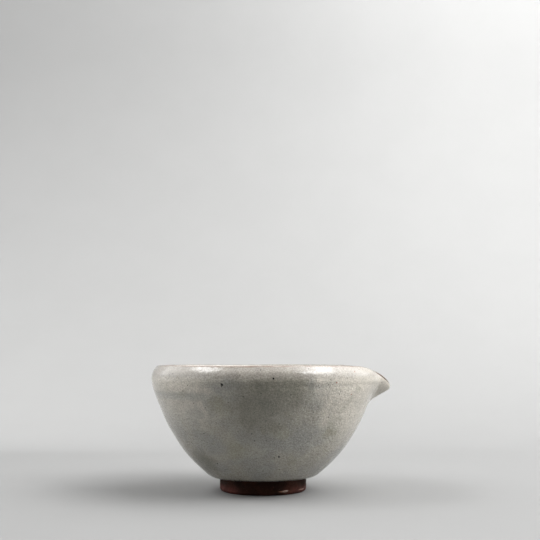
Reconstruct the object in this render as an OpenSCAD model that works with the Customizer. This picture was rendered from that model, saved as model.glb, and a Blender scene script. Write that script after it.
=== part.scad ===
// Katakuchi: a wheel-thrown stoneware bowl for pouring sake, with a lip let into a notch in
// its rim, a bare clay foot ring and a pale glaze inside and out.
// Millimetres, +Z up. The origin is the middle of the plane that the foot stands on, and the
// spout points along +X. Outside diameters and heights are taken over the glaze.

/* [Bowl] */
// Height of the rim above the table
bowl_h = 71.8; // [64:0.2:90]
// Widest diameter, at the shoulder
shoulder_d = 130; // [126:0.5:142]
// Depth of the widest line below the rim
shoulder_drop = 7.6; // [6:0.2:12]
// Diameter of the rim's crest
rim_d = 121; // [112:0.5:124]
// Lean of the wall towards the axis where it meets the rim, in degrees
rim_lean = 35; // [10:1:45]
// Thickness of the clay at the rim
rim_t = 3.6; // [2.4:0.1:4.6]
// Diameter of the wall level with the bottom of the spout's notch
wall_d = 118.8; // [112:0.4:124]
// Steepness of the wall there, in degrees
wall_slope = 69; // [58:1:78]
// Thickness of the clay in the wall
wall_t = 4.6; // [3:0.1:6]
// Diameter of the lower belly
belly_d = 96.8; // [88:0.4:104]
// Height of the lower belly above the foot ring
belly_rise = 18.8; // [15:0.2:24]
// Steepness of the lower belly, in degrees
belly_slope = 56; // [48:1:62]
// Diameter where the underside turns up into the belly
underside_d = 65; // [58:0.5:72]
// Height of that turn above the foot ring
underside_rise = 2.4; // [1.4:0.1:4]
// Steepness of the underside at that turn, in degrees
underside_slope = 40; // [28:1:46]
// Thickness of the clay in the floor
floor_t = 5.2; // [3.5:0.1:8]

/* [Foot ring] */
// Outside diameter of the foot ring
foot_d = 49.8; // [44:0.2:54]
// Height of the foot ring
foot_h = 7.8; // [5:0.1:11]
// Thickness of the foot ring
foot_t = 4.6; // [3.4:0.1:7]
// Radius of the foot's worn outer edge
foot_edge = 1.7; // [0.6:0.1:1.8]
// Radius of the foot's inner edge
foot_inner_edge = 0.9; // [0.4:0.1:1.2]

/* [Spout] */
// Height of the bottom of the notch that the spout is set into
notch_h = 47; // [42:0.5:50]
// Half of the angle that the notch takes out of the rim, in degrees
notch_angle = 38; // [34:1:46]
// Reach of the spout's tip beyond the shoulder
spout_reach = 9.1; // [5:0.1:14]
// Depth of the lip's tip below the rim
spout_dip = 9.6; // [6:0.2:12]
// Angle from the middle over which the swell of the spout fades, in degrees
swell_angle = 11.5; // [9:0.5:16]
// Angle from the middle over which the dip of the lip fades, in degrees
dip_angle = 9.5; // [7:0.5:12]
// Slope of the spout's underside where it meets the lip, in degrees
spout_slope = 29; // [20:1:42]
// Thickness of the clay at the spout's lip
spout_lip_t = 4.2; // [3:0.1:5.4]

/* [Glaze] */
// Thickness of the glaze
glaze_t = 0.5; // [0.3:0.05:0.8]
// Width of the line along the lip where the clay shows
bare_line = 0.9; // [0.5:0.1:1.6]
// Height of the two splashes on the foot above its worn edge
splash_gap = 0.2; // [0.1:0.1:1]
// Width of the larger splash
splash_w = 3.4; // [2:0.1:4]

/* [Hidden] */
$fn = 144;

clay_brown = [0.26, 0.14, 0.10];
glaze_grey = [0.80, 0.79, 0.75];

// Numbers of straight steps along a curve, round half of the lip and across the spout
curve_steps = 7;
lip_steps = 5;
bare_steps = 3;
spout_steps = 36;
edge_steps = 6;

// Share of the straight distance between two knots that a curve keeps to each knot's heading
curve_pull = 1 / 3;
dish_pull = 0.42;
// Heading of the underside as it leaves the foot ring, in degrees
joint_slope = 20;
// Hairline round the glaze on the spout
seam = 0.02;
// Share of the glaze that is left where it runs off the lip
thin_share = 0.25;
// Angles from the spout to the two splashes, the second splash's share of the first one's
// width, and each one's height as a share of its width
splash_angles = [-60, -28];
splash_shares = [1, 0.66];
splash_flatness = 0.5;

// Layers from the outside in, as the coats of glaze and the walls of clay that lie over each
OUTER_GLAZE = [0, 0];
OUTER_CLAY = [1, 0];
INNER_CLAY = [1, 1];
INNER_GLAZE = [2, 1];

foot_r = foot_d / 2;
rim_round = rim_t / 2;
tip_round = spout_lip_t / 2;
// Share of the half turn round the rim that the bare line takes
bare_share = bare_line / (PI * rim_round);

function lerp(a, b, share) = a + (b - a) * share;
function heading(angle) = [cos(angle), sin(angle)];
function inward(angle) = [-sin(angle), cos(angle)];
function place(knot) = [knot[0], knot[1]];
function reversed(list) = [for (i = [len(list) - 1:-1:0]) list[i]];

// A knot is a radius, a height and the angle at which the outline passes, and this one lies
// deeper in the wall, square to the outline
function sunk(knot, depth) =
    let (p = place(knot) + depth * inward(knot[2]))
    [p[0], p[1], knot[2]];

// The same for a knot whose layers all lie at one height
function sunk_level(knot, depth) = [knot[0] - depth / sin(knot[2]), knot[1], knot[2]];

function depth_of(layer, clay_t) = layer[0] * glaze_t + layer[1] * clay_t;

function bezier(p, q, r, s, t) =
    pow(1 - t, 3) * p + 3 * pow(1 - t, 2) * t * q + 3 * (1 - t) * t * t * r + t * t * t * s;

// The four control points of the curve between two knots
function controls(a, b, pull) =
    let (reach = pull * norm(place(b) - place(a)))
    [place(a), place(a) + reach * heading(a[2]), place(b) - reach * heading(b[2]), place(b)];

// The points of that curve, without its last one
function curve(a, b, pull = curve_pull) =
    let (c = controls(a, b, pull))
    [for (i = [0:curve_steps - 1]) bezier(c[0], c[1], c[2], c[3], i / curve_steps)];

function outline(knots) = [
    for (i = [0:len(knots) - 2]) each curve(knots[i], knots[i + 1]),
    place(knots[len(knots) - 1])
];

// Knots of the wall below the notch
joint_knot = sunk([foot_r, foot_h, joint_slope], -glaze_t);
underside_knot = [underside_d / 2, foot_h + underside_rise, underside_slope];
belly_knot = [belly_d / 2, foot_h + belly_rise, belly_slope];
notch_knot = [wall_d / 2, notch_h, wall_slope];

// How far the spout has swollen and the lip has dipped at an angle from the spout's middle
function bell(x) = exp(-x * x);
function peak(x) = 1 / (1 + x * x);
function swell_at(angle) =
    let (end = bell(notch_angle / swell_angle))
    (bell(angle / swell_angle) - end) / (1 - end);
function dip_at(angle) =
    let (end = peak(notch_angle / dip_angle))
    (peak(angle / dip_angle) - end) / (1 - end);

// The lip's round edge, as its centre, the angle at which it leaves the outer face and its radius.
// A state is a pair: the swell and the dip of the section that is drawn.
PLAIN_WALL = [0, 0];
FULL_SPOUT = [1, 1];
function lip(state) = [
    lerp(rim_d / 2, shoulder_d / 2 + spout_reach - tip_round - glaze_t, state[0]),
    bowl_h - lerp(rim_round, tip_round + spout_dip, state[1]),
    lerp(rim_lean, spout_slope - 90, state[0]),
    lerp(rim_round, tip_round, state[0])
];
function lip_point(state, share, coat) =
    let (l = lip(state))
    [l[0], l[1]] + (l[3] + coat) * heading(l[2] + 180 * share);
function lip_knot(layer, state) =
    let (
        l = lip(state),
        p = [l[0], l[1]] + (l[3] + glaze_t - depth_of(layer, 2 * l[3])) * heading(l[2])
    )
    [p[0], p[1], l[2] + 90];

// The knot half-way up: the shoulder on the plain wall, the middle of the underside on the spout
shoulder_knot = [shoulder_d / 2, bowl_h - shoulder_drop, 90];
underspout_knot =
    let (
        c = controls(notch_knot, lip_knot(OUTER_GLAZE, FULL_SPOUT), curve_pull),
        middle = bezier(c[0], c[1], c[2], c[3], 1 / 2),
        along = c[3] + c[2] - c[1] - c[0]
    )
    [middle[0], middle[1], atan2(along[1], along[0])];
function middle_knot(state) = [
    lerp(shoulder_knot[0], underspout_knot[0], state[0]),
    lerp(shoulder_knot[1], underspout_knot[1], state[1]),
    lerp(shoulder_knot[2], underspout_knot[2], state[0])
];

// One face of the wall from the notch's height up to the lip
function upper_side(layer, state) = outline([
    sunk_level(notch_knot, depth_of(layer, wall_t)),
    sunk(middle_knot(state), depth_of(layer, lerp(wall_t, lerp(rim_t, spout_lip_t, state[0]), 1 / 2))),
    lip_knot(layer, state)
]);

// The bare line runs along the crest of the plain rim and half-way round the spout's lip
function bare_middle(state) = lerp((90 - rim_lean) / 180, 1 / 2, state[0]);
function bare_from(state) = bare_middle(state) - bare_share / 2;
function bare_to(state) = bare_middle(state) + bare_share / 2;

// Stretches of the lip's half turn: under the outer glaze, bare, and under the inner glaze
function outer_shares(state) = [for (i = [1:lip_steps]) lerp(0, bare_from(state), i / lip_steps)];
function bare_shares(state) = [
    for (i = [1:bare_steps - 1]) lerp(bare_from(state), bare_to(state), i / bare_steps)
];
function inner_shares(state) = [for (i = [1:lip_steps]) lerp(1, bare_to(state), i / lip_steps)];

function on_lip(state, shares) = [for (share = shares) lip_point(state, share, 0)];
function thinning(i) = glaze_t * lerp(1, thin_share, pow((i + 1) / lip_steps, 2));
function over_lip(state, shares) = [
    for (i = [0:lip_steps - 1]) lip_point(state, shares[i], thinning(i))
];

// Sections above the notch's height, each run up its outer face and down its inner face
function clay_section(state) = concat(
    upper_side(OUTER_CLAY, state),
    on_lip(state, concat(outer_shares(state), bare_shares(state), reversed(inner_shares(state)))),
    reversed(upper_side(INNER_CLAY, state))
);
function outer_glaze_section(state) = concat(
    upper_side(OUTER_GLAZE, state),
    over_lip(state, outer_shares(state)),
    reversed(on_lip(state, outer_shares(state))),
    reversed(upper_side(OUTER_CLAY, state))
);
function inner_glaze_section(state) = concat(
    upper_side(INNER_CLAY, state),
    on_lip(state, inner_shares(state)),
    reversed(over_lip(state, inner_shares(state))),
    reversed(upper_side(INNER_GLAZE, state))
);

// Faces of the wall below the notch's height
function lower_outside(layer) = outline([
    sunk(joint_knot, depth_of(layer, 0)),
    sunk(underside_knot, depth_of(layer, 0)),
    sunk(belly_knot, depth_of(layer, 0)),
    sunk_level(notch_knot, depth_of(layer, 0))
]);
function lower_inside(layer) =
    let (
        middle = [0, foot_h + floor_t + (layer[0] - 1) * glaze_t, 0],
        belly = sunk(belly_knot, depth_of(layer, wall_t)),
        notch = sunk_level(notch_knot, depth_of(layer, wall_t))
    )
    concat(curve(middle, belly, dish_pull), outline([belly, notch]));

// A section turned round the axis, over the whole circle or past the notch alone
module full_turn(section) {
    rotate_extrude() polygon(section);
}
module turn_past_notch(section) {
    rotate_extrude(angle = 360 - 2 * notch_angle, start = notch_angle) polygon(section);
}

// A solid through the sections that stand at equal angles across the notch. The first half of
// each section's points faces the second half, so the two ends close with strips.
module loft(sections) {
    count = len(sections[0]);
    half = count / 2;
    last = (len(sections) - 1) * count;
    sides = [
        for (i = [0:len(sections) - 2], j = [0:count - 1])
        let (a = i * count + j, b = i * count + (j + 1) % count, c = a + count, d = b + count)
        each (j < half ? [[a, b, d], [a, d, c]] : [[a, b, c], [b, d, c]])
    ];
    ends = [
        for (j = [0:half - 2])
        let (a = j, b = j + 1, c = count - 2 - j, d = count - 1 - j)
        each [
            [a, d, c],
            [a, c, b],
            [last + a, last + b, last + c],
            [last + a, last + c, last + d]
        ]
    ];
    polyhedron([for (section = sections) each section], concat(sides, ends));
}

// The angles of the sections from one end of the notch to the other, less a hairline
function angles_across(end) = [for (i = [0:spout_steps]) lerp(-end, end, i / spout_steps)];
clay_angles = angles_across(notch_angle);
glaze_angles = angles_across(notch_angle - 360 * seam / (PI * rim_d));
function state_at(angle) = [swell_at(angle), dip_at(angle)];
function stood_at(section, angle) = [
    for (p = section) [p[0] * cos(angle), p[0] * sin(angle), p[1]]
];

// A section whose two lowest points stand a hairline above the notch
function raised(low, next) = lerp(low, next, seam / (next[1] - low[1]));
function off_notch(section) =
    let (last = len(section) - 1)
    [
        raised(section[0], section[1]),
        for (i = [1:last - 1]) section[i],
        raised(section[last], section[last - 1])
    ];

function arc(centre, radius, from, to) = [
    for (i = [0:edge_steps]) centre + radius * heading(lerp(from, to, i / edge_steps))
];

// Thrown wall and floor
module bowl_body() {
    color(clay_brown) {
        full_turn(concat(
            [[0, foot_h]],
            lower_outside(OUTER_CLAY),
            reversed(lower_inside(INNER_CLAY))
        ));
        turn_past_notch(clay_section(PLAIN_WALL));
    }
}

// Ring that the bowl stands on, luted to the floor
module foot_ring() {
    foot_in = foot_r - foot_t;
    color(clay_brown)
        full_turn(concat(
            [[foot_in, foot_h]],
            arc([foot_in + foot_inner_edge, foot_inner_edge], foot_inner_edge, 180, 270),
            arc([foot_r - foot_edge, foot_edge], foot_edge, 270, 360),
            [[foot_r, foot_h]]
        ));
}

// Pouring lip, luted into the notch
module spout() {
    color(clay_brown)
        loft([for (angle = clay_angles) stood_at(clay_section(state_at(angle)), angle)]);
}

// Glaze from the foot ring up to the lip
module outer_glaze() {
    color(glaze_grey) {
        full_turn(concat(lower_outside(OUTER_GLAZE), reversed(lower_outside(OUTER_CLAY))));
        turn_past_notch(outer_glaze_section(PLAIN_WALL));
        loft([
            for (angle = glaze_angles)
            stood_at(off_notch(outer_glaze_section(state_at(angle))), angle)
        ]);
    }
}

// Glaze from the lip down over the floor
module inner_glaze() {
    color(glaze_grey) {
        full_turn(concat(lower_inside(INNER_CLAY), reversed(lower_inside(INNER_GLAZE))));
        turn_past_notch(inner_glaze_section(PLAIN_WALL));
        loft([
            for (angle = glaze_angles)
            stood_at(off_notch(inner_glaze_section(state_at(angle))), angle)
        ]);
    }
}

// One splash: the part of a thin ring round the foot that two crossing round bars share
module splash(angle, width) {
    height = splash_flatness * width;
    bar_r = (width * width + height * height) / (4 * height);
    middle_h = foot_edge + splash_gap + height / 2;
    intersection() {
        full_turn([[foot_r, 0], [foot_r + glaze_t, 0], [foot_r + glaze_t, foot_h], [foot_r, foot_h]]);
        rotate(angle)
            intersection_for(side = [-1, 1])
                translate([0, 0, middle_h + side * (bar_r - height / 2)])
                    rotate([0, 90, 0])
                        cylinder(r = bar_r, h = foot_d);
    }
}

// Splashes of glaze on the foot's outer face
module foot_glaze_spots() {
    color(glaze_grey)
        for (i = [0:len(splash_angles) - 1])
            splash(splash_angles[i], splash_w * splash_shares[i]);
}

bowl_body();
foot_ring();
spout();
outer_glaze();
inner_glaze();
foot_glaze_spots();
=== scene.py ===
import bmesh
import bpy
import numpy as np
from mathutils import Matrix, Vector, noise


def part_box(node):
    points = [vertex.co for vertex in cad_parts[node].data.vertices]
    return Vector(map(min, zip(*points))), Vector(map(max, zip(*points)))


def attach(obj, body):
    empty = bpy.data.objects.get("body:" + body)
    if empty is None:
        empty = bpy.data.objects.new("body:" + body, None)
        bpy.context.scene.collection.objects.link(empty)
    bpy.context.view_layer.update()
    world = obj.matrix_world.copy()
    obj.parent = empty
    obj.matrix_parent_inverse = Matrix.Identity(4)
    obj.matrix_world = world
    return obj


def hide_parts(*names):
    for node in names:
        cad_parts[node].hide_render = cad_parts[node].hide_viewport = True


# A katakuchi: a thrown stoneware bowl with a pouring lip, a bare foot ring and a cloudy pale glaze.
# Lengths are millimetres until a mesh, a lamp or the camera is made, and angles are degrees. The
# spout points along +X. A place in a section through the axis is a complex number: its radius
# and, as the imaginary part, its height.

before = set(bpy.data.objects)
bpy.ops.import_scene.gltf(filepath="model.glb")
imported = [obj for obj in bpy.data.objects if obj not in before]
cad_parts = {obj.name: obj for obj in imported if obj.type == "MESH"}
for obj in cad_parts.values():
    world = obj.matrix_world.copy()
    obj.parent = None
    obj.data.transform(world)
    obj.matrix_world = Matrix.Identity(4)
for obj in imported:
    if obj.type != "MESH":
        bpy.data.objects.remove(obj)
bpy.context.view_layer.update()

MM = 0.001

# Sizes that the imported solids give
foot_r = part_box("foot_ring")[1].x / MM
foot_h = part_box("foot_ring")[1].z / MM
bowl_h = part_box("bowl_body")[1].z / MM
shoulder_r = -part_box("outer_glaze")[0].x / MM

# The other sizes of the section, as in the part's source
rim_r = 60.5
rim_lean = 35
rim_t = 3.6
shoulder_drop = 7.6
wall_r = 59.4
wall_slope = 69
wall_t = 4.6
belly_r = 48.4
belly_rise = 18.8
belly_slope = 56
underside_r = 32.5
underside_rise = 2.4
underside_slope = 40
joint_slope = 20
floor_t = 5.2
foot_t = 4.6
foot_edge = 1.7
foot_inner_edge = 0.9
notch_h = 47
notch_angle = 38
spout_reach = 9.1
spout_dip = 9.6
spout_slope = 29
spout_lip_t = 4.2
swell_angle = 11.5
dip_angle = 9.5
glaze_t = 0.5
bare_line = 0.9

# Share of the distance between two knots of a section that its curve keeps to their headings
CURVE_PULL = 1 / 3
DISH_PULL = 0.42

# Layers of the wall, as the coats of glaze and the walls of clay that lie over each
OUTER_GLAZE = (0, 0)
OUTER_CLAY = (1, 0)
INNER_CLAY = (1, 1)
INNER_GLAZE = (2, 1)


# Sections

def lerp(a, b, share):
    return a + (b - a) * share


def smooth_step(low, high, value):
    share = np.clip((value - low) / (high - low), 0, 1)
    return share * share * (3 - 2 * share)


def hump(value, middle, width):
    """A smooth hump of height 1 round a middle."""
    return np.exp(-(((value - middle) / width) ** 2))


def heading(angle):
    return np.exp(1j * np.radians(angle))


def rays(turn):
    """Level unit vectors at angles in radians."""
    return np.stack([np.cos(turn), np.sin(turn), 0 * turn], axis=-1)


def from_spout(angles):
    """Angles from -180 to 180, counted from the spout's middle."""
    return (angles + 180) % 360 - 180


def sunk(knot, depth):
    """A knot, which is a place and the angle at which the outline passes it, deeper in the wall."""
    place, angle = knot
    return place + depth * 1j * heading(angle), angle


def sunk_level(knot, depth):
    """The same for a knot whose layers all lie at one height."""
    place, angle = knot
    return place - depth / np.sin(np.radians(angle)), angle


def depth_of(layer, clay_t):
    return layer[0] * glaze_t + layer[1] * clay_t


def controls(a, b, pull):
    reach = pull * np.abs(b[0] - a[0])
    return a[0], a[0] + reach * heading(a[1]), b[0] - reach * heading(b[1]), b[0]


def curve(a, b, steps, pull=CURVE_PULL):
    """The places from knot a to just short of knot b, as one row for each column of the mesh."""
    p, q, r, s = (np.reshape(c, (-1, 1)) for c in controls(a, b, pull))
    t = np.arange(steps) / steps
    return (1 - t) ** 3 * p + 3 * (1 - t) ** 2 * t * q + 3 * (1 - t) * t ** 2 * r + t ** 3 * s


def joined(*stretches):
    """Stretches of a section one after another, each repeated for every column if need be."""
    columns = max(len(s) for s in stretches)
    return np.hstack([np.broadcast_to(s, (columns, s.shape[1])) for s in stretches])


underside_knot = (underside_r + 1j * (foot_h + underside_rise), underside_slope)
belly_knot = (belly_r + 1j * (foot_h + belly_rise), belly_slope)
notch_knot = (wall_r + 1j * notch_h, wall_slope)
shoulder_knot = (shoulder_r + 1j * (bowl_h - shoulder_drop), 90)
joint_knot = sunk((foot_r + 1j * foot_h, joint_slope), -glaze_t)


def faded(shape, angles, width):
    """A peak over the spout's middle that ends at the sides of its notch."""
    end = shape(notch_angle / width)
    return np.where(np.abs(angles) < notch_angle, (shape(angles / width) - end) / (1 - end), 0)


def state_at(angles):
    """How far the spout has swollen and its lip has dipped at each angle."""
    apart = from_spout(angles)
    swell = faded(lambda x: np.exp(-x * x), apart, swell_angle)
    dip = faded(lambda x: 1 / (1 + x * x), apart, dip_angle)
    return swell, dip


def lip(state):
    """Centre, starting angle and radius of the lip's round edge."""
    swell, dip = state
    tip = spout_lip_t / 2
    radius = lerp(rim_t / 2, tip, swell)
    across = lerp(rim_r, shoulder_r + spout_reach - tip - glaze_t, swell)
    up = bowl_h - lerp(rim_t / 2, tip + spout_dip, dip)
    return across + 1j * up, lerp(rim_lean, spout_slope - 90, swell), radius


def lip_knot(layer, state):
    centre, start, radius = lip(state)
    out = radius + glaze_t - layer[0] * glaze_t - layer[1] * 2 * radius
    return centre + out * heading(start), start + 90


def round_lip(state, shares, coat):
    """Places round the lip at shares of its half turn, under a coat of glaze."""
    centre, start, radius = (np.reshape(v, (-1, 1)) for v in lip(state))
    return centre + (radius + coat) * heading(start + 180 * shares)


def middle_knot(state):
    """The shoulder on the plain wall, and the middle of the underside on the spout."""
    p, q, r, s = controls(notch_knot, lip_knot(OUTER_GLAZE, (1, 1)), CURVE_PULL)
    place = (p + 3 * q + 3 * r + s) / 8
    angle = np.degrees(np.angle(s + r - q - p))
    swell, dip = state
    across = lerp(shoulder_knot[0].real, place.real, swell)
    up = lerp(shoulder_knot[0].imag, place.imag, dip)
    return across + 1j * up, lerp(shoulder_knot[1], angle, swell)


def upper_side(layer, state, steps):
    """One face of the wall from the notch's height to the lip."""
    mean_t = lerp(wall_t, lerp(rim_t, spout_lip_t, state[0]), 1 / 2)
    low = sunk_level(notch_knot, depth_of(layer, wall_t))
    middle = sunk(middle_knot(state), depth_of(layer, mean_t))
    return joined(curve(low, middle, steps[0]), curve(middle, lip_knot(layer, state), steps[1]))


def lower_outside(layer, steps):
    """The outer face from the underside's turn up to the notch's height."""
    depth = depth_of(layer, 0)
    turn = sunk(underside_knot, depth)
    belly = sunk(belly_knot, depth)
    return joined(curve(turn, belly, steps[0]), curve(belly, sunk_level(notch_knot, depth), steps[1]))


def lower_inside(layer, steps):
    """The inner face from the middle of the floor up to the notch's height."""
    middle = (1j * (foot_h + floor_t + (layer[0] - 1) * glaze_t), 0)
    belly = sunk(belly_knot, depth_of(layer, wall_t))
    notch = sunk_level(notch_knot, depth_of(layer, wall_t))
    return joined(curve(middle, belly, steps[0], DISH_PULL), curve(belly, notch, steps[1]))


# Relief

NOISE_STEP = 17.3
RING_STRETCH = 0.06


def noise_at(points, size, seed):
    """Smooth noise from about -1 to 1 at each point, with features of about this size."""
    shifted = np.reshape(points, (-1, 3)) / size + NOISE_STEP * seed
    values = np.fromiter((noise.noise(p) for p in shifted.tolist()), float, len(shifted))
    return values.reshape(points.shape[:-1])


def ring_noise(points, size, seed):
    """Noise that runs round the bowl in rings, as throwing marks do, and changes slowly on the way."""
    return noise_at(points * (RING_STRETCH, RING_STRETCH, 1), size, seed)


def spun(section, angles):
    """The sections of all columns, each stood at its angle."""
    turn = np.radians(angles)[:, None]
    return np.stack([section.real * np.cos(turn), section.real * np.sin(turn), section.imag], axis=-1)


# How the wall is out of true at the rim, oval and three-sided as shares of its radius and wavy and
# tilted in millimetres, and how far the foot is shifted towards the spout
OVAL = 0.0022
THREE_SIDED = 0.0012
WAVE = 0.1
TILT = 0.25
FOOT_SHIFT = -0.4


def slumped(points):
    """The slight lean and wave of a thrown wall, which all layers share."""
    x, y, z = np.moveaxis(points, -1, 0)
    turn = np.arctan2(y, x)
    rise = (z / bowl_h) ** 3
    oval = 1 + rise * (OVAL * np.cos(2 * turn + 0.7) + THREE_SIDED * np.cos(3 * turn + 2.1))
    wave = rise * (WAVE * np.cos(5 * turn) - TILT * np.sin(turn))
    return np.stack([x * oval + FOOT_SHIFT * (1 - z / bowl_h), y * oval, z + wave], axis=-1)


def normals_of(points):
    """Normals of a grid of columns that close into a ring, which point out on a rising outer face."""
    around = np.roll(points, -1, axis=0) - np.roll(points, 1, axis=0)
    along = np.gradient(points, axis=1)
    normal = np.cross(around, along)
    return normal / np.maximum(np.linalg.norm(normal, axis=-1, keepdims=True), 1e-9)


def raised(points, height):
    return points + height[..., None] * normals_of(points)


# Meshes

def quads(columns, rows):
    """Faces between neighbouring columns and rows, which are arrays of vertex numbers."""
    a, b = columns[:, :-1], columns[:, 1:]
    c, d = rows[:, :-1], rows[:, 1:]
    return np.stack([a, c, d, b], axis=-1).reshape(-1, 4)


def numbered(*grids):
    """Numbers for the vertices of some grids one after another, in the shapes of the grids."""
    counts = [g.shape[0] * g.shape[1] for g in grids]
    starts = np.cumsum([0] + counts)
    return [s + np.arange(n).reshape(g.shape[:2]) for s, n, g in zip(starts, counts, grids)]


def stacked(*grids):
    return np.vstack([np.reshape(g, (-1, 3)) for g in grids])


def ring_faces(index):
    """Faces of a grid whose columns close into a ring."""
    return quads(index, np.roll(index, -1, axis=0)).tolist()


def fan_faces(middle, ring):
    """Triangles between one vertex and a closed ring of vertices round it."""
    return [[middle, a, b] for a, b in zip(ring.tolist(), np.roll(ring, -1).tolist())]


def end_faces(section):
    """Faces over one end of a wall, from the vertices up its outer face and down its inner one."""
    half = len(section) // 2
    return quads(section[None, :half], section[None, :half - 1:-1]).tolist()


def make_piece(name, points, faces, material, slot, *nodes):
    """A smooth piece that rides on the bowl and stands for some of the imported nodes."""
    mesh = bpy.data.meshes.new(name)
    mesh.from_pydata((np.reshape(points, (-1, 3)) * MM).tolist(), [], faces)
    shell = bmesh.new()
    shell.from_mesh(mesh)
    bmesh.ops.recalc_face_normals(shell, faces=shell.faces)
    shell.to_mesh(mesh)
    shell.free()
    mesh.shade_smooth()
    piece = bpy.data.objects.new(name, mesh)
    bpy.context.scene.collection.objects.link(piece)
    mesh.materials.append(material)
    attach(piece, "root")
    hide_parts(*nodes)
    return piece


def add_values(piece, name, values):
    """A number for each vertex that the material can read."""
    layer = piece.data.attributes.new(name, "FLOAT", "POINT")
    layer.data.foreach_set("value", np.ravel(values).astype(np.float32))


def all_round(columns):
    return np.arange(columns) * 360 / columns


# Glaze, outside

# Heights of the glaze's lower edge in front, at the sides and where it laps lowest, how far it wanders,
# and the slope at which the clay leaves the foot
LAP_FRONT = 8.05
LAP_SIDE = 7.1
LAP_LOW = 6.3
LAP_WANDER = 0.25
LAP_TILT = 0.2
SAG_SLOPE = 16.5

# The rounded nose of that edge: how far it stands out, its headings where it leaves the clay, in
# front and where it laps, and how far a lap pulls the underside down
NOSE = 0.3 - 0.03j
NOSE_FIRST = -40
NOSE_FRONT = 12
NOSE_LAPPED = 10
LAP_PULL = 0.5

# The bare line along the lip: its place on the lip's half turn as it follows the spout's outline, and
# the share of the coat that is left where it ends
BARE_SHIFT = -0.43
BARE_RETURN = 0.62
COAT_END = 0.25

# Marks on the outer face, with their heights, half widths and depths
CREASE_H = 61.2
CREASE_ABOVE = 1.5
CREASE_BELOW = 7
CREASE_LEFT = 0.06
CREASE_RIGHT = 0.34
RIM_SWELL_H = 68
RIM_SWELL_W = 2.2
RIM_SWELL = 0.3
STREAK_H = 55.8
STREAK_W = 1.7
STREAK_DEPTH = 0.12
STEP_H = 37.6
STEP_W = 2.4
STEP_RISE = 0.13

# Where along X the streak and the step on the left begin and are full
LEFT_FROM = -16
LEFT_FULL = -36

# The fuller sides of the spout: angle from its middle, half width, fullness, and the distances below the
# lip at which they are fullest and end
CHEEK_ANGLE = 15
CHEEK_W = 12
CHEEK_FULL = 1.5
CHEEK_DROP = 6
CHEEK_END = 17


def lap_height(angles):
    """Height of the glaze's lower edge, which is above the foot in front and laps it at the sides."""
    turn = np.radians(angles)
    side = np.cos(turn) ** 2 + 0.25 * (np.sin(turn) > 0) * np.sin(turn) ** 2
    wander = LAP_WANDER * noise_at(rays(turn), 0.4, 4) + LAP_TILT * np.cos(turn)
    return np.clip(lerp(LAP_FRONT, LAP_SIDE, side) + wander, LAP_LOW, LAP_FRONT + LAP_TILT)


def bare_shares(state, angles, side):
    """Where round the lip's half turn the glaze breaks off: along the crest, unevenly."""
    spots = rays(np.radians(angles))
    ragged = 1 + 0.5 * noise_at(spots, 0.05, 7 + side) + 0.4 * noise_at(spots, 0.3, 9)
    width = bare_line / (np.pi * rim_t / 2) * ragged
    middle = (90 - rim_lean) / 180 + BARE_SHIFT * state[0] + BARE_RETURN * state[0] ** 2
    return middle + side * width / 2


def coat_over_lip(state, ends, start, steps):
    """Places from one side of the lip to where the coat ends, and the coat's thinning there."""
    run = np.arange(steps + 1) / steps
    shares = lerp(start, ends[:, None], run)
    return shares, glaze_t * lerp(1, COAT_END, run ** 2)


def outer_relief(points, plain):
    """Throwing rings, a crease below the fuller rim, soft lumps and the glaze's pebbled skin."""
    z = points[..., 2]
    left = smooth_step(LEFT_FROM, LEFT_FULL, points[..., 0])
    streak = -STREAK_DEPTH * left * hump(z, STREAK_H, STREAK_W)
    step = STEP_RISE * left * hump(z, STEP_H, STEP_W)
    rings = 0.10 * ring_noise(points, 6, 1) + 0.05 * ring_noise(points, 2.8, 2)
    lumps = 0.16 * noise_at(points, 22, 3)
    line = CREASE_H + 0.3 * noise_at(points * (1, 1, 0), 30, 4)
    deep = lerp(CREASE_LEFT, CREASE_RIGHT, smooth_step(-30, 5, points[..., 0]))
    flank = np.where(z > line, CREASE_ABOVE, CREASE_BELOW)
    crease = -deep * hump(z, line, flank)
    rim = RIM_SWELL * hump(z, RIM_SWELL_H, RIM_SWELL_W)
    pebbles = 0.055 * noise_at(points, 2.6, 5)
    return rings + lumps + pebbles + streak + step + plain * (crease + rim)


def cheeks(angles, from_lip):
    """The fuller sides of the spout, a few millimetres below its lip."""
    beside = hump(np.abs(from_spout(angles[:, None])), CHEEK_ANGLE, CHEEK_W)
    below = smooth_step(0, CHEEK_DROP, from_lip) * smooth_step(CHEEK_END, CHEEK_DROP, from_lip)
    return CHEEK_FULL * beside * below


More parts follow.
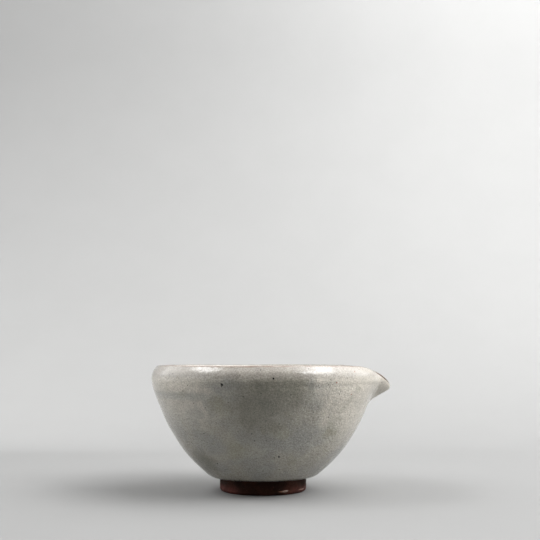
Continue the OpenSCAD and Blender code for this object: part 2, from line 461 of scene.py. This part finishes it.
def outer_coat(material):
    """The coat outside, from its uneven edge at the foot to the bare line on the lip."""
    columns = 768
    angles = all_round(columns)
    state = state_at(angles)
    edge = lap_height(angles)
    lapped = np.clip((foot_h - edge) / (foot_h - LAP_LOW), 0, 1)
    outside_foot = np.maximum(edge - foot_h, 0) / np.tan(np.radians(SAG_SLOPE))
    contact = foot_r + outside_foot + 1j * edge
    nose = (contact + NOSE, lerp(NOSE_FRONT, NOSE_LAPPED, lapped))
    turn = (underside_knot[0] - LAP_PULL * 1j * lapped, underside_slope)
    shares, thin = coat_over_lip(state, bare_shares(state, angles, -1), 0, 5)
    face = joined(
        curve((contact, NOSE_FIRST + 0 * lapped), nose, 4),
        curve(nose, turn, 12),
        curve(turn, belly_knot, 28),
        curve(belly_knot, notch_knot, 28),
        upper_side(OUTER_GLAZE, state, (23, 12)),
        round_lip(state, shares, thin),
    )
    back = joined(
        round_lip(state, shares[:, -1:], 0),
        upper_side(OUTER_CLAY, state, (4, 3))[:, ::-1],
        lower_outside(OUTER_CLAY, (4, 3))[:, ::-1],
        np.reshape(foot_r + outside_foot + 1j * np.maximum(edge, foot_h), (-1, 1)),
    )
    front = slumped(spun(face, angles))
    length = np.cumsum(np.abs(np.diff(face, axis=1, prepend=face[:, :1])), axis=1)
    from_lip = length[:, -1:] - length
    fade = smooth_step(0, 1.5, length) * smooth_step(0, 2.5, from_lip)
    relief = outer_relief(front, 1 - state[0][:, None]) + cheeks(angles, from_lip)
    front = raised(front, fade * relief)
    points = np.concatenate([front, slumped(spun(back, angles))], axis=1)
    index, = numbered(points)
    faces = ring_faces(np.hstack([index, index[:, :1]]))
    piece = make_piece("outer_glaze_coat", points, faces, material, "glaze", "outer_glaze")
    rest = np.zeros(back.shape)
    narrow = 1.1 * state[0][:, None]
    thinned = smooth_step(2.0 - narrow, 0.6 - narrow, from_lip)
    add_values(piece, "thinned", np.hstack([thinned, rest]))
    add_values(piece, "pooled", np.hstack([smooth_step(6, 0.5, length), rest]))
    return piece


# Glaze, inside

FINGER_PITCH = 7.5


def inner_relief(points):
    """The spiral that the fingers leave on the floor, rings on the wall, and the pebbled skin."""
    x, y, _ = np.moveaxis(points, -1, 0)
    radius = np.hypot(x, y)
    spiral = np.cos(2 * np.pi * radius / FINGER_PITCH - np.arctan2(y, x))
    on_floor = smooth_step(44, 30, radius) * smooth_step(1, 9, radius)
    rings = 0.14 * ring_noise(points, 6, 11) * (1 - on_floor) + 0.2 * spiral * on_floor
    lumps = 0.16 * noise_at(points, 24, 12)
    pebbles = 0.05 * noise_at(points, 2.6, 13)
    return rings + lumps + pebbles


def inner_coat(material):
    """The coat inside, from the bare line on the lip to the middle of the floor."""
    columns = 660
    angles = all_round(columns)
    state = state_at(angles)
    shares, thin = coat_over_lip(state, bare_shares(state, angles, 1), 1, 6)
    face = joined(
        lower_inside(INNER_GLAZE, (52, 25)),
        upper_side(INNER_GLAZE, state, (22, 12)),
        round_lip(state, shares, thin),
    )[:, ::-1]
    back = joined(
        lower_inside(INNER_CLAY, (6, 3)),
        upper_side(INNER_CLAY, state, (4, 3)),
        round_lip(state, shares[:, -1:], 0),
    )
    front = slumped(spun(face, angles))
    from_lip = np.cumsum(np.abs(np.diff(face, axis=1, prepend=face[:, :1])), axis=1)
    front = raised(front, smooth_step(0, 2.5, from_lip) * inner_relief(front))
    poles = front[:, -1].mean(axis=0), back[0, 0].imag * np.array([0, 0, 1])
    around = np.concatenate([slumped(spun(back[:, 1:], angles)), front[:, :-1]], axis=1)
    index, = numbered(around)
    faces = ring_faces(index)
    faces += fan_faces(index.size, index[:, -1]) + fan_faces(index.size + 1, index[:, 0])
    points = stacked(around, poles)
    piece = make_piece("inner_glaze_coat", points, faces, material, "glaze", "inner_glaze")
    thinned = np.hstack([0 * back[:, 1:].real, smooth_step(0.4, 0.05, from_lip[:, :-1])])
    add_values(piece, "thinned", np.append(np.ravel(thinned), [0, 0]))
    return piece


# Clay

BOSS_H = 0.9
BOSS_W = 3.2
MARK_PITCH = 2.3
MARK_DEPTH = 0.12


def recess_relief(points):
    """Turning marks round a small boss in the middle of the recess under the floor."""
    x, y, _ = np.moveaxis(points, -1, 0)
    radius = np.hypot(x, y)
    spiral = np.cos(2 * np.pi * radius / MARK_PITCH - np.arctan2(y, x))
    marks = MARK_DEPTH * spiral * smooth_step(2.5, 5, radius)
    boss = BOSS_H * hump(radius, 0, BOSS_W)
    return (marks + boss) * smooth_step(foot_r - foot_t, foot_r - foot_t - 1.5, radius)


def clay_sections(state, steps):
    """Sections above the notch's height, up the outer face and down the inner one."""
    return joined(
        upper_side(OUTER_CLAY, state, steps),
        round_lip(state, np.linspace(0, 1, 18), 0),
        upper_side(INNER_CLAY, state, steps)[:, ::-1],
    )


def bowl_clay(material):
    """The thrown wall and floor, with the notch that the spout is set into."""
    past = np.linspace(notch_angle, 360 - notch_angle, 421)
    across = np.linspace(-notch_angle, notch_angle, 91)[1:-1]
    angles = np.concatenate([past, across])
    under = np.linspace(0, foot_r, 46)[None, 1:] + 1j * foot_h
    outside = joined(
        under + 0 * angles[:, None],
        curve(sunk(joint_knot, glaze_t), sunk(underside_knot, glaze_t), 4)[:, 1:],
        lower_outside(OUTER_CLAY, (6, 5)),
        np.reshape(sunk_level(notch_knot, glaze_t)[0], (1, 1)),
    )
    inside = joined(
        sunk_level(notch_knot, depth_of(INNER_CLAY, wall_t))[0] + 0 * angles[:, None],
        lower_inside(INNER_CLAY, (8, 4))[:, :0:-1],
    )
    upper = clay_sections(state_at(past), (6, 4))[:, 1:-1]
    below = spun(outside, angles)
    recess = below[:, :under.size]
    recess[..., 2] -= recess_relief(recess)
    grids = [slumped(g) for g in (below, spun(inside, angles), spun(upper, past))]
    poles = slumped(np.array([[0, 0, foot_h - BOSS_H], [0, 0, foot_h + floor_t]]))
    outer, inner, wall = numbered(*grids)
    level = np.stack([outer[:, -1], inner[:, 0]], axis=1)
    wall = np.hstack([level[:len(past), :1], wall, level[:len(past), 1:]])
    notch = np.vstack([level[len(past) - 1:], level[:1]])
    first_pole = sum(g.shape[0] * g.shape[1] for g in grids)
    faces = ring_faces(outer) + ring_faces(inner)
    faces += quads(wall[:-1], wall[1:]).tolist() + quads(notch[:-1], notch[1:]).tolist()
    faces += end_faces(wall[0]) + end_faces(wall[-1])
    faces += fan_faces(first_pole, outer[:, 0]) + fan_faces(first_pole + 1, inner[:, -1])
    return make_piece("bowl_clay", stacked(*grids, poles), faces, material, "clay", "bowl_body")


def spout_clay(material):
    """The pouring lip that fills the notch."""
    angles = np.linspace(-notch_angle, notch_angle, 141)
    points = slumped(spun(clay_sections(state_at(angles), (8, 6)), angles))
    index, = numbered(points)
    loop = np.hstack([index, index[:, :1]])
    faces = quads(loop[:-1], loop[1:]).tolist() + end_faces(index[0]) + end_faces(index[-1])
    return make_piece("spout_clay", points, faces, material, "clay", "spout")


def arc(centre, radius, start, end, steps):
    return (centre + radius * heading(lerp(start, end, np.arange(steps) / steps)))[None, :]


def straight(a, b, steps):
    return lerp(a, b, np.arange(steps) / steps)[None, :]


def foot_relief(points):
    """Turning lines, grain, and wear and small chips along the outer edge."""
    x, y, z = np.moveaxis(points, -1, 0)
    lines = 0.07 * ring_noise(points, 1.2, 31) + 0.05 * ring_noise(points, 0.6, 32)
    lumps = 0.12 * noise_at(points, 9, 33)
    grain = 0.05 * noise_at(points, 0.9, 34)
    near_edge = hump(z, 0.8, 1.1) * smooth_step(foot_r - 3, foot_r - 1.5, np.hypot(x, y))
    chips = -0.35 * smooth_step(0.25, 0.6, noise_at(points, 2.2, 35)) * near_edge
    between = smooth_step(0, 0.6, z) * smooth_step(foot_h, foot_h - 0.5, z)
    return (lines + lumps + grain + chips) * between


def foot_clay(material):
    """The ring that the bowl stands on."""
    columns = 720
    angles = all_round(columns)
    inside = foot_r - foot_t
    low_in = inside + foot_inner_edge
    low_out = foot_r - foot_edge
    section = joined(
        straight(foot_r + 1j * foot_h, inside + 1j * foot_h, 4),
        straight(inside + 1j * foot_h, inside + 1j * foot_inner_edge, 12),
        arc(low_in + 1j * foot_inner_edge, foot_inner_edge, 180, 270, 6),
        straight(low_in + 0j, low_out + 0j, 6),
        arc(low_out + 1j * foot_edge, foot_edge, 270, 360, 9),
        straight(foot_r + 1j * foot_edge, foot_r + 1j * foot_h, 20),
    )
    points = spun(np.broadcast_to(section, (columns, section.shape[1])), angles)
    points = slumped(raised(points, foot_relief(points)))
    points[..., 2] = np.maximum(points[..., 2], 0)
    index, = numbered(points)
    faces = ring_faces(np.hstack([index, index[:, :1]]))
    return make_piece("foot_clay", points, faces, material, "clay", "foot_ring")


# Splashes on the foot, as the angle from the spout, the height and half of the width and height
SPLASHES = ((-61.5, 2.2, 3.1, 0.6), (-29, 2.0, 4.0, 0.26))
SPLASH_T = 0.16
SPLASH_SUNK = 0.03
SPLASH_BEHIND = 0.6
# How far the splashes are browned: partly thin glaze over the clay, and pushed past full as painted
# shade for the shade under the bowl
SPLASH_THIN_AND_SHADE = 1.3


def foot_face(height):
    """Radius of the foot's outer face at a height."""
    below = np.clip(foot_edge - height, 0, foot_edge)
    return foot_r - foot_edge + np.sqrt(foot_edge ** 2 - below ** 2)


def on_foot(angle, across, up, film):
    """Places on the foot's worn outer face, raised by the film of glaze over it."""
    turn = np.radians(angle) + across / foot_r
    ray = rays(turn)
    bare = foot_face(up)[..., None] * ray + up[..., None] * np.array([0, 0, 1])
    return bare + (foot_relief(bare) + film)[..., None] * ray


def splash_points(angle, height, half_w, half_h, rings, spokes):
    """Rings of places over a splash with an uneven edge, its middle, and a place behind it."""
    turn = np.arange(spokes) * 2 * np.pi / spokes
    share = np.arange(1, rings + 1)[:, None] / rings
    edge = np.stack([np.cos(turn), np.sin(turn), np.full(spokes, angle)], axis=-1)
    uneven = 1 + 0.45 * noise_at(edge, 0.45, 41)
    across = half_w * share * uneven * np.cos(turn)
    up = height + half_h * share * uneven * np.sin(turn)
    film = SPLASH_T * (1 - share ** 4) - SPLASH_SUNK
    front = on_foot(angle, across, up, film)
    level = np.array([height])
    middle = on_foot(angle, 0 * level, level, np.array([SPLASH_T]))
    behind = on_foot(angle, 0 * level, level, np.array([-SPLASH_BEHIND]))
    return front, middle, behind


def splashes(material):
    """The splashes of glaze, as one piece."""
    points = []
    faces = []
    for splash in SPLASHES:
        front, middle, behind = splash_points(*splash, rings=10, spokes=64)
        index = len(points) + numbered(front)[0].T
        faces += ring_faces(index)
        points += stacked(front, middle, behind).tolist()
        faces += fan_faces(len(points) - 2, index[:, 0]) + fan_faces(len(points) - 1, index[:, -1])
    points = slumped(np.array(points))
    piece = make_piece("foot_splashes", points, faces, material, "glaze", "foot_glaze_spots")
    add_values(piece, "thinned", np.full(len(points), SPLASH_THIN_AND_SHADE))
    return piece


# Materials

def node(tree, kind, sockets=None, **settings):
    """A node with its settings, and with each named or numbered socket set or linked."""
    made = tree.nodes.new("ShaderNode" + kind)
    for name, value in settings.items():
        setattr(made, name, value)
    for name, value in (sockets or {}).items():
        if isinstance(value, bpy.types.NodeSocket):
            tree.links.new(value, made.inputs[name])
        else:
            made.inputs[name].default_value = value
    return made


def new_material(name):
    """A material with its tree, its shader and the place on the object."""
    material = bpy.data.materials.new(name)
    material.use_nodes = True
    tree = material.node_tree
    shader = tree.nodes["Principled BSDF"]
    where = node(tree, "TexCoord").outputs["Object"]
    return material, tree, shader, where


def spread(tree, value, low, high, to_low=0.0, to_high=1.0):
    """A value eased from one range to another."""
    sockets = {"Value": value, "From Min": low, "From Max": high, "To Min": to_low, "To Max": to_high}
    return node(tree, "MapRange", sockets, interpolation_type="SMOOTHSTEP").outputs["Result"]


def math(tree, operation, a, b):
    return node(tree, "Math", {0: a, 1: b}, operation=operation).outputs[0]


def mixed(tree, share, a, b, blend="MIX"):
    return node(tree, "Mix", {0: share, 6: a, 7: b}, data_type="RGBA", blend_type=blend).outputs[2]


def cloud(tree, where, size, detail=3.0, distortion=0.0, seed=0.0):
    """Noise from 0 to 1 whose features are about this many millimetres across."""
    moved = node(tree, "VectorMath", {0: where, 1: (seed, seed * 0.7, seed * 1.3)}).outputs[0]
    sockets = {"Vector": moved, "Scale": 1 / (size * MM), "Detail": detail, "Distortion": distortion}
    return node(tree, "TexNoise", sockets).outputs[0]


def grey(value):
    return (value, value, value, 1)


GLAZE_MID = (0.391, 0.370, 0.319, 1)
GLAZE_BLUE = (0.343, 0.338, 0.309, 1)
GLAZE_WARM = (0.572, 0.535, 0.467, 1)
GLAZE_RIM = (0.350, 0.323, 0.289, 1)
GLAZE_OLIVE = (0.366, 0.350, 0.282, 1)
GLAZE_STREAK = (0.330, 0.335, 0.315, 1)
# Painted shade: the darker glaze laid over the front of the bowl
GLAZE_PAINTED_SHADE = (0.225, 0.217, 0.175, 1)
BREAK_BROWN = (0.16, 0.075, 0.045, 1)
IRON_BLACK = (0.012, 0.010, 0.009, 1)
IRON_RED = (0.26, 0.075, 0.04, 1)

# Iron specks that show on the front, as the angle from the spout, the height and the radius
BLACK_SPECKS = (
    (-109.3, 62.3, 0.62),
    (-85.2, 65.5, 0.5),
    (-125.6, 35.9, 0.36),
    (-96.2, 36.5, 0.28),
    (-94.7, 32.7, 0.3),
    (-87.8, 32.7, 0.26),
    (-79.1, 23.6, 0.5),
    (-82.1, 23.1, 0.3),
    (-126.1, 18.9, 0.38),
    (-49.5, 58.2, 0.28),
)
RED_SPECKS = ((-52.9, 63.1, 0.42), (-41.1, 56.6, 0.36), (-39.6, 68.7, 0.34))

# Patches of colour that show on the front, given in the same way; the last two lists are painted shade.
OLIVE_PATCHES = ((-106.6, 27.5, 7), (-48.6, 36.5, 4.5), (-112, 52, 6))
BLUE_PATCHES = ((-68, 33, 9), (-123, 30, 9))
# Painted shade: the warm tone is taken out of a patch on the front, right of the middle
PAINTED_SHADE_UNWARM_PATCHES = ((-69, 47, 14),)
# Painted shade: darker glaze over the front middle below the rim and low on the left
PAINTED_SHADE_PATCHES = ((-88, 57, 20), (-77, 60, 14), (-93, 49, 17), (-140, 18, 11))


def outside_place(angle, height):
    """The place on the outer face of the plain wall at an angle and a height, in metres."""
    away = state_at(np.array([180.0]))
    wall = joined(lower_outside(OUTER_GLAZE, (60, 60)), upper_side(OUTER_GLAZE, away, (60, 40)))[0]
    radius = np.interp(height, wall.imag, wall.real)
    ray = rays(np.radians(angle))
    place = slumped(radius * ray + height * np.array([0, 0, 1]))
    return Vector(place + outer_relief(place, 1) * ray) * MM


def specks_at(tree, where, specks):
    """A mask of round specks, each softened at its edge."""
    mask = 0.0
    for angle, height, radius in specks:
        place = outside_place(angle, height)
        apart = node(tree, "VectorMath", {0: where, 1: place}, operation="DISTANCE").outputs["Value"]
        spot = spread(tree, apart, radius * 1.3 * MM, radius * 0.8 * MM)
        mask = math(tree, "MAXIMUM", mask, spot)
    return mask


def scattered_specks(tree, where, cell, radius, share):
    """A mask of small specks strewn at random, in one of every few cells."""
    dots = node(tree, "TexVoronoi", {"Vector": where, "Scale": 1 / (cell * MM), "Randomness": 1.0})
    spot = spread(tree, dots.outputs["Distance"], radius / cell, 0.5 * radius / cell)
    chance = node(tree, "SeparateColor", {0: dots.outputs["Color"]}).outputs[0]
    picked = math(tree, "GREATER_THAN", chance, 1 - share)
    return math(tree, "MULTIPLY", spot, picked)


def value_of(tree, name):
    return node(tree, "Attribute", attribute_name=name).outputs["Fac"]


def patches_at(tree, where, patches):
    """A mask of soft patches, whose edges are blurred by noise."""
    sockets = {"Vector": where, "Scale": 1 / (9 * MM), "Detail": 3.0}
    drift = node(tree, "TexNoise", sockets).outputs["Color"]
    drift = node(tree, "VectorMath", {0: drift, 1: (0.5, 0.5, 0.5)}, operation="SUBTRACT").outputs[0]
    drift = node(tree, "VectorMath", {0: drift, "Scale": 12 * MM}, operation="SCALE").outputs[0]
    drifted = node(tree, "VectorMath", {0: where, 1: drift}).outputs[0]
    mask = 0.0
    for angle, height, radius in patches:
        place = outside_place(angle, height)
        apart = node(tree, "VectorMath", {0: drifted, 1: place}, operation="DISTANCE").outputs["Value"]
        mask = math(tree, "MAXIMUM", mask, spread(tree, apart, radius * 1.3 * MM, radius * 0.3 * MM))
    return mask


def glaze_colour(tree, where):
    """Clouds of warmer and bluer grey, warmest below the rim, with a fine grain; the lighter warm glaze
    at the sides is partly painted light, and patches on the front are painted shade.
    """
    along, _, height = node(tree, "SeparateXYZ", {0: where}).outputs
    clouds = cloud(tree, where, 26, 4, 0.5, 0.11)
    colour = mixed(tree, spread(tree, clouds, 0.36, 0.58), GLAZE_BLUE, GLAZE_MID)
    # The warm tone is lighter than the rest. It partly shows the glaze's warmer tint and is partly
    # painted light, lowered on the right and filled in at both sides, where the side lamps fall
    painted_light_lift = math(tree, "MULTIPLY", math(tree, "MAXIMUM", along, 0), 0.25)
    near_rim = spread(tree, math(tree, "ADD", height, painted_light_lift), 32 * MM, 58 * MM, 0.1, 1.0)
    warm = spread(tree, cloud(tree, where, 15, 4, 0.6, 0.2), 0.36, 0.60)
    beside = spread(tree, math(tree, "ABSOLUTE", along, 0), 18 * MM, 44 * MM, 0.0, 0.9)
    warm = math(tree, "MULTIPLY", near_rim, math(tree, "MAXIMUM", warm, beside))
    # Painted shade: the warm tone is taken out of a patch on the front, right of the middle
    warm = math(tree, "SUBTRACT", warm, patches_at(tree, where, PAINTED_SHADE_UNWARM_PATCHES))
    colour = mixed(tree, warm, colour, GLAZE_WARM)
    colour = mixed(tree, patches_at(tree, where, BLUE_PATCHES), colour, GLAZE_BLUE)
    off_streak = math(tree, "ABSOLUTE", math(tree, "SUBTRACT", height, STREAK_H * MM), 0)
    left = spread(tree, along, LEFT_FROM * MM, LEFT_FULL * MM)
    streak = math(tree, "MULTIPLY", spread(tree, off_streak, 3.2 * MM, 0.8 * MM), left)
    colour = mixed(tree, math(tree, "MULTIPLY", streak, 0.5), colour, GLAZE_STREAK)
    olive = spread(tree, cloud(tree, where, 13, 4, 0.6, 0.31), 0.58, 0.72, 0, 0.7)
    olive = math(tree, "MAXIMUM", olive, patches_at(tree, where, OLIVE_PATCHES))
    colour = mixed(tree, olive, colour, GLAZE_OLIVE)
    # Painted shade: darker glaze over the front middle below the rim and low on the left
    deep = math(tree, "MULTIPLY", patches_at(tree, where, PAINTED_SHADE_PATCHES), 0.86)
    colour = mixed(tree, deep, colour, GLAZE_PAINTED_SHADE)
    at_rim = spread(tree, height, 63.5 * MM, 67.5 * MM)
    at_rim = math(tree, "MULTIPLY", at_rim, spread(tree, along, 40 * MM, 58 * MM, 0.8, 0.62))
    colour = mixed(tree, at_rim, colour, GLAZE_RIM)
    blotches = spread(tree, cloud(tree, where, 5, 3, 0, 0.37), 0.3, 0.7, 0.95, 1.05)
    colour = mixed(tree, 1.0, colour, blotches, "MULTIPLY")
    grain = spread(tree, cloud(tree, where, 0.7, 2, 0, 0.41), 0.3, 0.7, 0.80, 1.19)
    return mixed(tree, 1.0, colour, grain, "MULTIPLY")


def glaze_material():
    material, tree, shader, where = new_material("cloudy_glaze")
    colour = glaze_colour(tree, where)
    colour = mixed(tree, math(tree, "MULTIPLY", value_of(tree, "pooled"), 0.4), colour, GLAZE_BLUE)
    broken = spread(tree, cloud(tree, where, 5, 3, 0, 0.53), 0.35, 0.65, 0.5, 1.0)
    colour = mixed(tree, math(tree, "MULTIPLY", value_of(tree, "thinned"), broken), colour, BREAK_BROWN)
    pepper = scattered_specks(tree, where, 3.0, 0.46, 0.5)
    colour = mixed(tree, math(tree, "MULTIPLY", pepper, 0.7), colour, IRON_BLACK)
    colour = mixed(tree, specks_at(tree, where, BLACK_SPECKS), colour, IRON_BLACK)
    colour = mixed(tree, specks_at(tree, where, RED_SPECKS), colour, IRON_RED)

    along, _, height = node(tree, "SeparateXYZ", {0: where}).outputs
    squat = node(tree, "VectorMath", {0: where, 1: (1, 1, 1.35)}, operation="MULTIPLY").outputs[0]
    skin = cloud(tree, squat, 1.8, 2, 0, 0.61)
    fine = math(tree, "MULTIPLY", cloud(tree, squat, 0.6, 2, 0, 0.71), 0.35)
    below_rim = spread(tree, height, 68.5 * MM, 63.5 * MM, 0.35, 1.0)
    past_spout = spread(tree, along, 56 * MM, 36 * MM, 0.4, 1.0)
    pebbled = math(tree, "MULTIPLY", below_rim, past_spout)
    relief = math(tree, "MULTIPLY", math(tree, "ADD", skin, fine), pebbled)
    bump = node(tree, "Bump", {"Height": relief, "Strength": 0.9, "Distance": 0.44 * MM})
    rough = spread(tree, cloud(tree, where, 6, 3, 0, 0.83), 0.3, 0.7, 0.07, 0.15)
    shader.inputs["IOR"].default_value = 1.5
    for name, value in (("Base Color", colour), ("Roughness", rough), ("Normal", bump.outputs[0])):
        tree.links.new(value, shader.inputs[name])
    return material


CLAY_DARK = (0.021, 0.0086, 0.0054, 1)
CLAY_RED = (0.047, 0.0168, 0.0105, 1)
# The lighter red that paints light on the low edge of the foot
CLAY_PAINTED_LIGHT = (0.115, 0.038, 0.031, 1)
CLAY_SAND = (0.20, 0.11, 0.075, 1)


def clay_material():
    material, tree, shader, where = new_material("iron_clay")
    along, _, height = node(tree, "SeparateXYZ", {0: where}).outputs
    patches = spread(tree, cloud(tree, where, 9, 4, 0.3, 0.15), 0.38, 0.65)
    colour = mixed(tree, patches, CLAY_DARK, CLAY_RED)
    # Painted light: a lighter, redder tone on the low edge of the foot to the left and, less, to the
    # right, where the lamps reach it
    low = spread(tree, height, 5.8 * MM, 1.5 * MM)
    left = spread(tree, along, -9 * MM, -21 * MM)
    right = spread(tree, along, 8 * MM, 22 * MM, 0.0, 0.55)
    beside = math(tree, "ADD", left, right)
    foot_painted_light = math(tree, "MULTIPLY", low, beside)
    cloudy = spread(tree, cloud(tree, where, 7, 3, 0.2, 0.18), 0.3, 0.6, 0.2, 1.0)
    foot_painted_light = math(tree, "MULTIPLY", foot_painted_light, cloudy)
    colour = mixed(tree, foot_painted_light, colour, CLAY_PAINTED_LIGHT)
    grain = spread(tree, cloud(tree, where, 0.6, 3, 0, 0.25), 0.3, 0.7, 0.7, 1.25)
    colour = mixed(tree, 1.0, colour, grain, "MULTIPLY")
    sand = scattered_specks(tree, where, 1.5, 0.22, 0.3)
    colour = mixed(tree, math(tree, "MULTIPLY", sand, 0.5), colour, CLAY_SAND)
    rough = spread(tree, cloud(tree, where, 3, 3, 0, 0.35), 0.3, 0.7, 0.7, 0.9)
    skin = cloud(tree, where, 0.6, 4, 0, 0.45)
    bump = node(tree, "Bump", {"Height": skin, "Strength": 0.5, "Distance": 0.2 * MM})
    shader.inputs["Specular IOR Level"].default_value = 0.1
    for name, value in (("Base Color", colour), ("Roughness", rough), ("Normal", bump.outputs[0])):
        tree.links.new(value, shader.inputs[name])
    return material


def paper_material():
    material, tree, shader, where = new_material("pale_paper")
    tone = spread(tree, cloud(tree, where, 60, 3), 0.3, 0.7, 0.245, 0.249)
    tree.links.new(mixed(tree, 1.0, (1.0, 1.0, 0.99, 1), tone, "MULTIPLY"), shader.inputs["Base Color"])
    shader.inputs["Roughness"].default_value = 0.9
    return material


# Stage

SWEEP_HALF_W = 480
SWEEP_FRONT = -160
SWEEP_TURN = 230
SWEEP_RADIUS = 500
SWEEP_TOP = 2000


def paper_sweep():
    """A sheet of pale paper that lies under the bowl and curves up behind it."""
    bend = [SWEEP_TURN + 1j * SWEEP_RADIUS + SWEEP_RADIUS * heading(a) for a in np.linspace(-90, 0, 33)]
    run = np.array([SWEEP_FRONT + 0j] + bend + [bend[-1].real + 1j * SWEEP_TOP])
    sides = np.array([-SWEEP_HALF_W, SWEEP_HALF_W])
    points = [[x, p.real, p.imag] for p in run for x in sides]
    index = np.arange(len(points)).reshape(len(run), 2)
    mesh = bpy.data.meshes.new("paper_sweep")
    mesh.from_pydata((np.array(points) * MM).tolist(), [], quads(index[:-1], index[1:]).tolist())
    mesh.shade_smooth()
    mesh.materials.append(paper_material())
    sweep = bpy.data.objects.new("paper_sweep", mesh)
    bpy.context.scene.collection.objects.link(sweep)


BOWL_MIDDLE = (0, 0, 40)

# Soft lamps, each with its place, width, height, power and the place it points at
LAMPS = {
    "key": ((1120, -460, 1150), 900, 600, 13, BOWL_MIDDLE),
    "key_wide": ((1050, -330, 1400), 1300, 800, 5, BOWL_MIDDLE),
    "right_wall": ((1750, 0, 1250), 3200, 2200, 54, BOWL_MIDDLE),
    "right_floor": ((300, 60, 640), 500, 500, 3.0, (170, 20, 0)),
    "left_window": ((-1070, -60, 1430), 680, 440, 9, BOWL_MIDDLE),
    "left_wall": ((-1750, 150, 1200), 3200, 2200, 46, BOWL_MIDDLE),
    "top_front": ((0, -600, 1700), 1500, 600, 3.5, BOWL_MIDDLE),
    "top_back": ((0, 640, 1700), 1500, 600, 1.5, BOWL_MIDDLE),
    "wall_right": ((410, 200, 780), 500, 600, 11, (410, 730, 780)),
    "wall_left": ((-400, 200, 350), 600, 500, 1.8, (-400, 730, 350)),
}


def soft_lamp(name, place, width, height, power, aim):
    lamp = bpy.data.lights.new(name, "AREA")
    lamp.shape = "RECTANGLE"
    lamp.size = width * MM
    lamp.size_y = height * MM
    lamp.energy = power
    stand = bpy.data.objects.new(name, lamp)
    stand.location = Vector(place) * MM
    stand.rotation_euler = (Vector(aim) - Vector(place)).to_track_quat("-Z", "Y").to_euler()
    bpy.context.scene.collection.objects.link(stand)


ROOM_SEEN = 0.75
ROOM_LIGHT = 0.02
ROOM_SHEEN = (0.05, 0.8)


def room():
    """A pale room, which gives only a little light and mirrors brightest from behind the bowl."""
    world = bpy.data.worlds.new("room")
    world.use_nodes = True
    tree = world.node_tree
    lit = tree.nodes["Background"]
    lit.inputs["Color"].default_value = grey(1)
    lit.inputs["Strength"].default_value = ROOM_LIGHT
    ways = node(tree, "LightPath").outputs
    towards = node(tree, "TexCoord").outputs["Generated"]
    back = node(tree, "SeparateXYZ", {0: towards}).outputs["Y"]
    sheen = node(tree, "Background", {"Color": spread(tree, back, -0.3, 0.4, *ROOM_SHEEN)})
    seen = node(tree, "Background", {"Color": grey(ROOM_SEEN)})
    shine = node(tree, "MixShader", {0: ways["Is Glossy Ray"], 1: lit.outputs[0], 2: sheen.outputs[0]})
    both = node(tree, "MixShader", {0: ways["Is Camera Ray"], 1: shine.outputs[0], 2: seen.outputs[0]})
    tree.links.new(both.outputs[0], tree.nodes["World Output"].inputs["Surface"])
    bpy.context.scene.world = world


def light():
    for name, lamp in LAMPS.items():
        soft_lamp(name, *lamp)


CAMERA_PLACE = (3.62, -557, 78)
CAMERA_TILT = 5.126
CAMERA_LENS = 63.0
CAMERA_SENSOR = 36.0


def camera():
    eye = bpy.data.cameras.new("camera")
    eye.lens = CAMERA_LENS
    eye.sensor_width = CAMERA_SENSOR
    eye.clip_start = 0.01
    stand = bpy.data.objects.new("camera", eye)
    stand.location = Vector(CAMERA_PLACE) * MM
    stand.rotation_euler = (np.radians(90 + CAMERA_TILT), 0, 0)
    bpy.context.scene.collection.objects.link(stand)
    bpy.context.scene.camera = stand


glaze = glaze_material()
clay = clay_material()
outer_coat(glaze)
inner_coat(glaze)
bowl_clay(clay)
spout_clay(clay)
foot_clay(clay)
splashes(glaze)
paper_sweep()
light()
room()
camera()
bpy.context.scene.view_settings.view_transform = "Standard"
